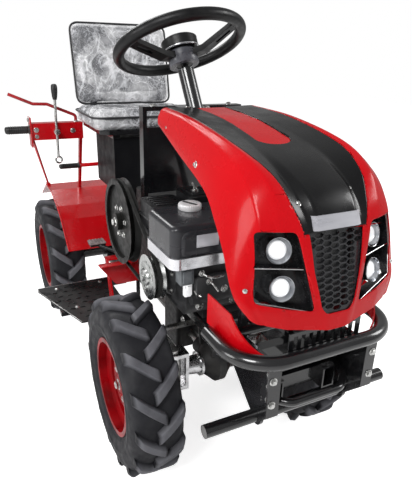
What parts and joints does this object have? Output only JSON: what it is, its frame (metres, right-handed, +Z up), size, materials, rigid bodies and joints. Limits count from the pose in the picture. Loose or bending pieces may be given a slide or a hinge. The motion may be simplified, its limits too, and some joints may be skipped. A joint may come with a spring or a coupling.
{
  "type": "orchard tractor",
  "caption": "Small open orchard tractor with a side-mounted engine, a wedge bonnet, a steered front axle, lugged tyres, a bucket seat and hand levers.",
  "frame": {"origin": "on the ground under the middle of the overall length and width", "axes": "+X forward, +Y to the tractor's left, +Z up"},
  "size_m": [1.824, 0.906, 1.2552],
  "materials": {
    "painted_red": "gloss",
    "painted_black": "gloss",
    "black_plastic": "satin",
    "grey_plastic": "satin",
    "silver_paint": "satin",
    "bright_steel": "satin",
    "cast_black": "rough",
    "engine_alloy": "rough",
    "chrome": "polished",
    "dark_red": "gloss",
    "tyre": "rough",
    "lens": "gloss",
    "seat_vinyl": "satin",
    "grip": "rough"
  },
  "bodies": {
    "chassis": {"main_frame": "painted_black", "front_axle_housing": "cast_black", "front_axle_ends": "silver_paint", "bumper_hoop": "painted_black", "bumper_low_tube": "painted_black", "bumper_brackets": "painted_black", "engine_block": "engine_alloy", "tank_band": "silver_paint", "fuel_tank": "grey_plastic", "fuel_cap": "chrome", "muffler": "cast_black", "air_cleaner": "black_plastic", "recoil_starter": "black_plastic", "engine_pulley": "bright_steel", "driven_pulley": "cast_black", "drive_belt": "grip", "gearbox": "cast_black", "drive_shafts": "bright_steel", "rear_axle": "painted_black", "steering_column": "painted_black", "bonnet_shell": "painted_red", "bonnet_centre_panel": "black_plastic", "bonnet_tongue": "painted_red", "grille": "black_plastic", "nose_strip": "silver_paint", "lamp_housings": "black_plastic", "headlamps": "lens", "nose_skirt": "painted_red", "nose_guard": "painted_black", "dash_panel": "black_plastic", "bonnet_stays": "painted_black", "footboard_left": "painted_black", "footboard_right": "painted_black", "footboard_carriers": "painted_black", "footboard_post": "painted_red", "pedal": "grip", "seat_frame": "painted_black", "seat_rails": "painted_black", "seat_cushion": "seat_vinyl", "seat_back": "seat_vinyl", "fender_left": "painted_red", "fender_right": "painted_red", "control_stand": "painted_red", "grip_high": "grip", "gear_lever": "bright_steel", "lift_lever": "painted_red", "low_lever": "painted_red", "rear_hitch": "painted_black"},
    "knuckle_right": {"knuckle_right": "bright_steel"},
    "knuckle_left": {"knuckle_left": "bright_steel"},
    "tie_rod": {"tie_rod": "bright_steel"},
    "steering_wheel": {"steering_wheel": "black_plastic"},
    "wheel_front_right": {"rim_front_right": "dark_red", "tyre_front_right": "tyre"},
    "wheel_front_left": {"rim_front_left": "dark_red", "tyre_front_left": "tyre"},
    "wheel_rear_right": {"rim_rear_right": "dark_red", "tyre_rear_right": "tyre"},
    "wheel_rear_left": {"rim_rear_left": "dark_red", "tyre_rear_left": "tyre"}
  },
  "joints": [
    {"name": "steer_right", "type": "hinge", "parent": "chassis", "child": "knuckle_right", "pos_m": [0.4, -0.14, 0.255], "axis": [0, 0, 1], "range_deg": [-25, 25]},
    {"name": "steer_left", "type": "hinge", "parent": "chassis", "child": "knuckle_left", "pos_m": [0.4, 0.14, 0.255], "axis": [0, 0, 1], "range_deg": [-25, 25]},
    {"name": "tie_rod_pivot", "type": "hinge", "parent": "knuckle_right", "child": "tie_rod", "pos_m": [0.3, -0.14, 0.34], "axis": [0, 0, 1], "range_deg": [-25, 25]},
    {"name": "steering_wheel_turn", "type": "hinge", "parent": "chassis", "child": "steering_wheel", "pos_m": [0.198, -0.036, 1.165], "axis": [-0.4289, -0.0787, 0.8999], "range_deg": [-225, 225]},
    {"name": "front_right_roll", "type": "hinge", "parent": "knuckle_right", "child": "wheel_front_right", "pos_m": [0.4, -0.27, 0.255], "axis": [0, 1, 0], "continuous": true},
    {"name": "front_left_roll", "type": "hinge", "parent": "knuckle_left", "child": "wheel_front_left", "pos_m": [0.4, 0.27, 0.255], "axis": [0, 1, 0], "continuous": true},
    {"name": "rear_right_roll", "type": "hinge", "parent": "chassis", "child": "wheel_rear_right", "pos_m": [-0.64, -0.27, 0.255], "axis": [0, 1, 0], "continuous": true},
    {"name": "rear_left_roll", "type": "hinge", "parent": "chassis", "child": "wheel_rear_left", "pos_m": [-0.64, 0.27, 0.255], "axis": [0, 1, 0], "continuous": true}
  ],
  "couplings": [
    {"joint": "steer_left", "follows": "steer_right", "ratio": 1},
    {"joint": "tie_rod_pivot", "follows": "steer_right", "ratio": -1},
    {"joint": "steering_wheel_turn", "follows": "steer_right", "ratio": 9}
  ]
}
